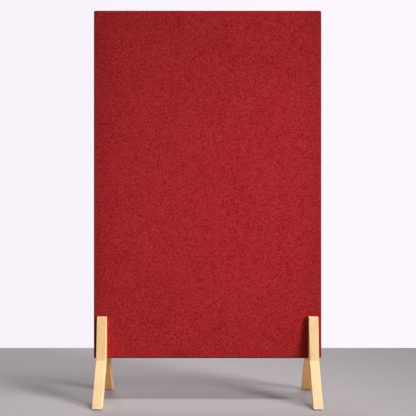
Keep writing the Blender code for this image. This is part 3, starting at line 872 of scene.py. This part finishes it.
def repeat(name, one, faces, spots, along, out, look):
    # every copy's point = spot + first coordinate along + second across + third outwards, after a small
    # turn about the way out
    across = np.cross(out, along)
    random = np.random.default_rng(stray["seed"])
    yaw = np.radians(stray["degrees"]) * random.standard_normal(len(spots))[:, None]
    first = np.cos(yaw) * along + np.sin(yaw) * across
    second = np.cos(yaw) * across - np.sin(yaw) * along
    axes = np.stack([first, second, np.broadcast_to(out, first.shape)], axis=1)
    points = (spots[:, None] + one @ axes).reshape(-1, 3)
    shifts = len(one) * np.arange(len(spots))
    copies = [[corner + shift for corner in face] for shift in shifts.tolist() for face in faces]
    meshPiece(name, points, copies, look, sharp=40)


def tubeFaces(shape, closed=False):
    # faces from ring to ring; the last ring runs on to the first one, or both ends get a flat face
    index = np.arange(shape[0] * shape[1]).reshape(shape)
    near, far = (index, np.roll(index, -1, axis=0)) if closed else (index[:-1], index[1:])
    faces = np.stack([near, np.roll(near, -1, axis=1), np.roll(far, -1, axis=1), far], axis=-1)
    ends = [] if closed else [index[0, ::-1].tolist(), index[-1].tolist()]
    return faces.reshape(-1, 4).tolist() + ends


def wireShape(path, section):
    # a bent wire: a flat or round section, section[k] at each point of its path, closed at both ends
    points = path[:, None] + section
    return points.reshape(-1, 3), tubeFaces(points.shape[:2])


def makeStaples(look):
    # one flat wire bent to a U with cut corners, legs inwards, along both edges of the strip
    centre, size = boxOf("bottom_strip")
    half, bend, leg, thick = staple["crown"] / 2, staple["bend"], staple["leg"], staple["thick"]
    path = np.array([(-half, 0, -leg), (-half, 0, -bend), (bend - half, 0, 0),
                     (half - bend, 0, 0), (half, 0, -bend), (half, 0, -leg)])
    inward = np.array([(1, 0, 0), (1, 0, -1), (0, 0, -1), (0, 0, -1), (-1, 0, -1), (-1, 0, 0)])
    corners = np.array([(0, 1), (0, -1), (1, -1), (1, 1)])
    wide = np.array([0, staple["wide"] / 2, 0])
    one, faces = wireShape(path, corners[:, :1] * thick * inward[:, None] + corners[:, 1:] * wide)
    rows = int(size[0] // staple["pitch"])
    places = (np.arange(rows) - (rows - 1) / 2) * staple["pitch"]
    y = size[1] / 2 - staple["inset"]
    level = np.full(rows, centre[2] - size[2] / 2 - thick - staple["sink"])
    spots = np.concatenate([np.column_stack([places + shift, np.full(rows, side * y), level])
                            for side, shift in ((-1, 0.0), (1, staple["offset"]))])
    repeat("strip_staples", one, faces, spots, np.array([1.0, 0, 0]), np.array([0, 0, -1.0]), look)


def makeStitches(look):
    # a short round thread arches over the seam on a slant, at equal steps up one side, over the top and
    # down the other
    centre, size = boxOf("front_cover")
    halves = size[[0, 2]] / 2
    face, reach, shape = roundedGrid(halves, cloth, cloth["corner"])
    rim = rimOf(shape)
    edge, way = face[rim], reach[rim]
    run = np.concatenate([[0], np.cumsum(np.linalg.norm(np.diff(edge, axis=0), axis=1))])
    steps = np.arange(0, run[-1], stitch["pitch"])
    x, z, outX, outZ = (np.interp(steps, run, column) for column in (*edge.T, *way.T))
    out = np.column_stack([outX, np.zeros(len(steps)), outZ]) / np.hypot(outX, outZ)[:, None]
    spots = np.column_stack([x, np.zeros(len(steps)), z + centre[2]])
    kept = z > stitch["lowest"] - halves[1]
    along = np.cross(np.array([0, 1.0, 0]), out)
    path = np.column_stack([stitch["along"], stitch["across"], stitch["out"]])
    heading = np.gradient(path, axis=0)
    heading /= np.linalg.norm(heading, axis=1)[:, None]
    beside = np.cross([0, 0, 1.0], path[-1] - path[0])
    beside /= np.linalg.norm(beside)
    turn = 2 * np.pi * np.arange(stitch["sides"])[:, None] / stitch["sides"]
    ring = np.cos(turn) * beside + np.sin(turn) * np.cross(heading, beside)[:, None]
    one, faces = wireShape(path, stitch["radius"] * ring)
    repeat("seam_stitches", one, faces, spots[kept], along[kept], out[kept], look)


def threadFinish():
    # a waxed thread: strands twist round it, with painted shade in the grooves between them
    finish = Finish("red thread")
    strand = finish.noise(stitch["strand"], detail=1.0, turn=(0.0, 0.0, stitch["twist"]))
    return finish.tint(stitch, strand, strand, roughness=0.6, specular=0.3)


# Metals

metal = {
    "zinc plate": {"dark": (158, 162, 168), "light": (206, 208, 212), "roughness": 0.34, "grain": 0.0006},
    "black steel": {"dark": (36, 36, 38), "light": (66, 66, 68), "roughness": 0.36, "grain": 0.0005},
    "cloud": 8,          # grains across a cloud
    "tone": (0.6, 0.4),  # shares of the clouds and the grain
    "range": (0.35, 0.65),
    "rough": 0.12,       # share of the grain in the roughness
    "bump": 0.06,        # depth, as a share of a grain's size
}


def metalFinish(name):
    # a thin finish on metal: cloudy tone, fine grain and roughness that follows it
    finish, grain = Finish(name), metal[name]["grain"]
    cloud = finish.noise(grain * metal["cloud"], detail=3.0)
    speck = finish.noise(grain)
    look = {**metal, **metal[name], "depth": grain * metal["bump"]}
    rough = look["roughness"] + look["rough"] * (speck - 0.5)
    return finish.tint(look, blend((cloud, speck), look["tone"]), speck, metallic=1.0, roughness=rough)


# Bolts, washers and inserts: rings about an axis that points to the front

fastener = {
    "sides": 48,
    "shank": 0.0030,       # radius over the thread
    "bore": 0.0033,        # radius inside a washer or an insert
    "pitch": 0.0010,
    "threadDepth": 0.00055,
    "threadLength": 0.030,
    "threadRows": 4,       # rings of points from one turn to the next
    "headRadius": 0.0050,
    "headHeight": 0.0060,
    "knurl": 0.00012,
    "socketWidth": 0.0050,
    "socketDepth": 0.0030,
    "chamfer": 0.0006,
    "washerRound": 0.0003,
    "flangeThickness": 0.0012,
    "bodyRadius": 0.0050,  # of an insert, over its coarse thread
    "coarsePitch": 0.0025,
    "coarseDepth": 0.0008,
    "coarseRows": 8,
}


def turnedPiece(node, name, rings, closed, look, ahead=0.0):
    # a point of ring k at angle a is start + radius(k, a) outwards and along(k) towards the front, from
    # the rear end of the node's box or as far ahead of it; rings are closed as tubeFaces says
    centre, rear = boxOf(node)[0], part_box(node)[1][1]
    along = np.array([ring[0] for ring in rings])[:, None]
    radius = np.stack([np.broadcast_to(ring[1], fastener["sides"]) for ring in rings])
    turn = 2 * np.pi * np.arange(fastener["sides"]) / fastener["sides"]
    x, z = centre[0] + radius * np.cos(turn), centre[2] + radius * np.sin(turn)
    y = np.broadcast_to(rear - ahead - along, x.shape)
    points = np.stack([x, y, z], axis=-1).reshape(-1, 3)
    meshPiece(name, points, tubeFaces(radius.shape, closed), look, node, sharp=35)


def threadRings(start, end, radius, pitch, depth, steps):
    # a thread: the radius dips by a notch wherever along / pitch + angle / turn is near a half, and the
    # notch fades at both ends
    share = np.arange(fastener["sides"]) / fastener["sides"]
    rows = np.linspace(start, end, max(2, round((end - start) / pitch * steps)) + 1)
    fades = np.clip(np.minimum(rows - start, end - rows) / pitch, 0, 1)
    phase = (rows[:, None] / pitch + share) % 1
    notch = np.clip(1.5 - np.abs(phase - 0.5) * 4, 0, 1)
    return [(row, radius - depth * fade * dip) for row, fade, dip in zip(rows, fades, notch)]


def makeBolt(spot, look):
    # from the socket's floor over the knurled head and down the shank to the tip
    node, f = f"{spot}_bolt", fastener
    low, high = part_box(node)
    head, radius, chamfer, shank = f["headHeight"], f["headRadius"], f["chamfer"], f["shank"]
    length = high[1] - low[1] - head
    turn = 2 * np.pi * np.arange(f["sides"]) / f["sides"]
    hexagon = f["socketWidth"] / 2 / np.cos((turn + np.pi / 6) % (np.pi / 3) - np.pi / 6)
    knurl = radius - f["knurl"] * (np.arange(f["sides"]) % 2)
    rings = [
        (f["socketDepth"] - head, hexagon), (chamfer / 4 - head, hexagon), (-head, hexagon + chamfer / 4),
        (-head, radius - chamfer), (chamfer / 2 - head, radius - chamfer / 4), (chamfer - head, knurl),
        (-chamfer / 2, knurl), (0.0, radius - chamfer / 2), (0.0, shank + chamfer / 4),
        (chamfer / 4, shank),
    ]
    rings += threadRings(length - f["threadLength"], length - chamfer, shank,
                         f["pitch"], f["threadDepth"], f["threadRows"])
    rings.append((length, shank - chamfer))
    turnedPiece(node, f"{spot}_cap_screw", rings, False, look, head)


def makeWasher(spot, look):
    # a stamped ring, rounded where the punch entered
    node = f"{spot}_washer"
    size = boxOf(node)[1]
    outer, bore, thick = size[0] / 2, fastener["bore"], size[1]
    punched, sheared = fastener["washerRound"], fastener["washerRound"] / 3
    rings = [
        (punched, bore), (0.0, bore + punched), (0.0, outer - punched), (sheared, outer - sheared),
        (punched, outer), (thick - sheared, outer), (thick, outer - sheared), (thick, bore + sheared),
        (thick - sheared, bore),
    ]
    turnedPiece(node, f"{spot}_plain_washer", rings, True, look)


def makeInsert(spot, look):
    # a flange, a body with a coarse thread that bites in the wood, and a bore
    node, f = f"{spot}_insert", fastener
    size = boxOf(node)[1]
    outer, length, bore, chamfer = size[0] / 2, size[1], f["bore"], f["chamfer"]
    flange, body = f["flangeThickness"], f["bodyRadius"]
    rings = [
        (chamfer / 2, bore), (0.0, bore + chamfer / 2), (0.0, outer - chamfer / 3), (chamfer / 3, outer),
        (flange - chamfer / 3, outer), (flange, outer - chamfer / 3),
    ]
    rings += threadRings(flange, length - chamfer, body, f["coarsePitch"], f["coarseDepth"], f["coarseRows"])
    rings += [(length, body - chamfer), (length, bore + chamfer / 2), (length - chamfer / 2, bore)]
    turnedPiece(node, f"{spot}_threaded_insert", rings, True, look)


print("staples and fasteners")
zincPlate = (metalFinish("zinc plate"), "zinc_plate")
blackSteel = (metalFinish("black steel"), "bolt_steel")
makeStaples(zincPlate)
makeStitches((threadFinish(), "cover_fabric"))
for side in ("left", "right"):
    for level in ("lower", "upper"):
        makeBolt(f"{side}_{level}", blackSteel)
        makeWasher(f"{side}_{level}", zincPlate)
        makeInsert(f"{side}_{level}", zincPlate)


# Wood: a plank's growth rings and fibres run through the whole piece, so every face shows its own cut

barWood = {
    "ringShare": 0.40, "wander": 0.0045, "fibreShare": 0.68, "streakShare": 0.80,
    "roughness": 0.46, "specular": 0.9, "coat": 0.15,
}

timber = {
    # the pith is how far the plank's heart lies aside from the piece's middle, on two axes
    "front": {
        "early": (255, 222, 166), "late": (240, 187, 113), "streak": (248, 195, 118), "pore": (202, 142, 80),
        "ring": 0.0023, "pith": (0.080, 0.022), **barWood,
    },
    # the rear bars' colours are a deeper, oranger copy of the front ones': painted shade, as they stand
    # under the panel
    "rear": {
        "early": (236, 176, 98), "late": (212, 140, 61), "streak": (218, 146, 66), "pore": (176, 108, 48),
        "ring": 0.0025, "pith": (-0.074, 0.026), **barWood,
    },
    "frame": {
        "early": (236, 206, 152), "late": (206, 158, 96), "streak": (222, 178, 116), "pore": (186, 132, 76),
        "ring": 0.0042, "ringShare": 0.7, "pith": (0.020, 0.055), "wander": 0.006,
        "fibreShare": 0.44, "streakShare": 0.3, "roughness": 0.62, "specular": 0.35, "coat": 0.0,
    },
    "dowel": {
        "early": (222, 184, 138), "late": (202, 158, 110), "streak": (212, 168, 118), "pore": (160, 112, 70),
        "ring": 0.0018, "ringShare": 0.4, "pith": (0.012, 0.030), "wander": 0.002,
        "fibreShare": 0.5, "streakShare": 0.3, "roughness": 0.6, "specular": 0.35, "coat": 0.0,
    },
}

plank = {
    # what all of them share; the first six are metres across and along the grain
    "drift": (0.03, 0.20),
    "wave": (0.010, 0.045),
    "fibre": (0.0009, 0.035),
    "pore": (0.0005, 0.007),
    "streak": (0.0065, 0.11),
    "cloud": (0.02, 0.06),
    "sway": (1.2, 0.7),       # rings by which drift and wave move them
    "darkens": (0.35, 0.92),  # part of a ring over which it darkens, and then ends
    "ends": (0.92, 1.0),
    "uneven": 2.4,            # of the rings' darkness, with the wave
    "pores": (0.66, 0.74),
    "streaks": (0.42, 0.72),
    "cloudShare": 0.5,
    "middle": 0.1,
    "poreShare": 0.45,
    "endShare": 0.30,         # of the late colour on end grain
    "endGrain": (0.6, 0.95),
    "bump": (0.6, -0.5, 0.3),  # shares of fibres, pores and rings
    "depth": 0.00008,
    "rough": (0.12, 0.1),     # shares of fibres and pores
    "coatRoughness": 0.35,
}


def woodFinish(name, wood, centre, turn, edge=None):
    # rings: the distance from the pith, wandering a little, in units of one ring; each ring darkens
    # slowly and ends sharply. Fibres, pores and streaks are noise drawn out along the grain
    finish = Finish(name)

    def drawn(feature, **more):
        across, along = plank[feature]
        return finish.noise((across, across, along), centre=centre, turn=turn, **more)

    place = finish.space(1.0, centre, turn)
    drift = drawn("drift", detail=1.5) - 0.5
    wave = drawn("wave") - 0.5
    u = finish.axis("X", place) - wood["pith"][0] + wood["wander"] * drift
    v = finish.axis("Y", place) - wood["pith"][1]
    turns = finish.math("SQRT", u * u + v * v) / wood["ring"] + blend((drift, wave), plank["sway"])
    ring = finish.math("FRACT", turns)
    late = finish.ease(ring, *plank["darkens"]) - finish.ease(ring, *plank["ends"])
    late = late * (1 + plank["uneven"] * wave)
    fibre = drawn("fibre", detail=3.0, roughness=0.6)
    pore = finish.ease(drawn("pore"), *plank["pores"])
    shares = (wood["ringShare"], wood["fibreShare"], plank["cloudShare"])
    tone = plank["middle"] + blend((late, fibre - 0.5, drawn("cloud") - 0.5), shares)
    colour = finish.mix(tone, wood["early"], wood["late"])
    strength = wood["streakShare"] * finish.ease(drawn("streak", twist=0.4), *plank["streaks"])
    colour = finish.mix(strength, colour, wood["streak"])
    colour = finish.mix(plank["poreShare"] * pore, colour, wood["pore"])
    grain = Euler(turn).to_matrix() @ Vector((0, 0, 1))
    endGrain = finish.ease(finish.facing(*grain), *plank["endGrain"])
    colour = finish.mix(plank["endShare"] * endGrain, colour, wood["late"])
    if edge:
        colour = edge(finish, colour)
    relief = finish.bump(blend((fibre, pore, late), plank["bump"]), plank["depth"])
    rough = wood["roughness"] + blend((fibre - 0.5, pore), plank["rough"])
    return finish.set(colour=colour, roughness=rough, normal=relief, specular=wood["specular"],
                      coat=wood["coat"], coatRoughness=plank["coatRoughness"])


bar = {
    "lean": 17.8,            # degrees that the grain leans, along the bar's whole run
    "arris": 0.0030,         # width of the pale strip along the edges: painted highlight, with some wear
    "square": (0.75, 0.95),  # how squarely a face looks aside or up where the strip ends
    # the pale colour of the edges and of the front feet: painted highlight, with some wear
    "wearAndPaintedLight": (255, 234, 190),
    "highlightAndWearShare": 0.80,
    "crease": 0.147,         # height above the floor where the foot leaves the cheek
    "creaseReach": 0.006,
    "deepCheek": {"left": 0.30, "right": 0.0},  # share of the streaks' colour above the crease
    "paintedFootHighlight": {"front": 0.24, "rear": 0.0},  # share of the pale colour below it: a painted highlight where the foot tilts up to the light
    "shifts": {"left": 0.013, "right": -0.021},  # of the grain, so that no two bars are alike
    "merge": 0.00001,        # metres within which a copy's corners are one
    "flat": 0.3,             # degrees within which its faces are one
}


def makeLegs():
    # each bar is sawn with its grain leaning from the foot to the cheek, and is paler on its edges: a
    # painted highlight, with some wear
    for face, way in (("front", -1), ("rear", 1)):
        for side, shift in bar["shifts"].items():
            node = f"{face}_{side}_leg"
            low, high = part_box(node)
            x, y, z = boxOf(node)[0].tolist()

            def highlightsAndWear(finish, colour):
                half, height, arris = (high[0] - low[0]) / 2, finish.axis("Z"), bar["arris"]
                strip = finish.ease(abs(finish.axis("X") - x), half - arris, half)
                flat = 1 - finish.ease(finish.facing(1.0, 0.0, 0.0), *bar["square"])
                top = finish.ease(height, high[2] - arris, high[2])
                foot = 1 - finish.ease(height, low[2], low[2] + arris)
                ends = (top + foot) * (1 - finish.ease(finish.facing(0.0, 0.0, 1.0), *bar["square"]))
                reach = bar["creaseReach"]
                above = finish.ease(height, bar["crease"] - reach, bar["crease"] + reach)
                deep = bar["deepCheek"][side] * above
                colour = finish.mix(deep, colour, timber[face]["streak"])
                # painted highlight: the front foot paler below the crease
                colour = finish.mix(bar["paintedFootHighlight"][face] * (1 - above), colour, bar["wearAndPaintedLight"])
                # pale edges: a painted highlight, with some wear
                wearAndPaintedLight = finish.math("MINIMUM", strip * flat + ends, 1.0)
                return finish.mix(bar["highlightAndWearShare"] * wearAndPaintedLight, colour, bar["wearAndPaintedLight"])

            turn = (math.radians(way * bar["lean"]), 0.0, 0.0)
            name = f"{face} {side} bar wood"
            wood = woodFinish(name, timber[face], (x + shift, y, z), turn, highlightsAndWear)
            dressCopy(node, node.replace("leg", "bar"), (wood, "leg_wood"))


def dressCopy(node, name, look):
    # a copy of the node with its triangles merged, smooth between its sharp edges, flats kept flat
    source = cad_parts[node]
    bm = bmesh.new()
    bm.from_mesh(source.data)
    bmesh.ops.transform(bm, matrix=source.matrix_world, verts=bm.verts)
    bmesh.ops.remove_doubles(bm, verts=bm.verts, dist=bar["merge"])
    bmesh.ops.dissolve_limit(bm, angle_limit=math.radians(bar["flat"]), verts=bm.verts, edges=bm.edges)
    mesh = bpy.data.meshes.new(name)
    bm.to_mesh(mesh)
    bm.free()
    piece = placePiece(name, mesh, look, node)
    weigh = piece.modifiers.new("flat faces stay flat", "WEIGHTED_NORMAL")
    weigh.keep_sharp = True


def dressNode(node, material):
    # a carried-over node takes its finish
    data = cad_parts[node].data
    data.materials.clear()
    data.materials.append(material)


board = {
    "dark": (84, 54, 32),
    "light": (142, 102, 66),
    "chip": (0.004, 0.002, 0.0022),
    "cloud": 0.08,
    "cloudShare": 0.3,
    "range": (0.3, 0.75),
    "depth": 0.00012,
}


def boardFinish():
    # pressed brown fibre: a dense speckle of chips over slow clouds
    finish = Finish("brown hardboard")
    chips = finish.noise(board["chip"], detail=4.0, roughness=0.7)
    cloud = finish.noise(board["cloud"])
    return finish.tint(board, chips + board["cloudShare"] * (cloud - 0.5), chips, roughness=0.62)


print("wood and boards")
makeLegs()
alongX, alongZ = (0.0, math.radians(90), 0.0), (0.0, 0.0, 0.0)
for node in timbers:
    grainWay = alongZ if "stile" in node else alongX
    middle = tuple(boxOf(node)[0].tolist())
    dressNode(node, woodFinish(f"{node} pine", timber["frame"], middle, grainWay))
beech = woodFinish("beech dowel", timber["dowel"], (0.0, 0.0, 0.0), alongX)
hardboard = boardFinish()
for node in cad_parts:
    if "dowel" in node:
        dressNode(node, beech)
    if "septum" in node:
        dressNode(node, hardboard)
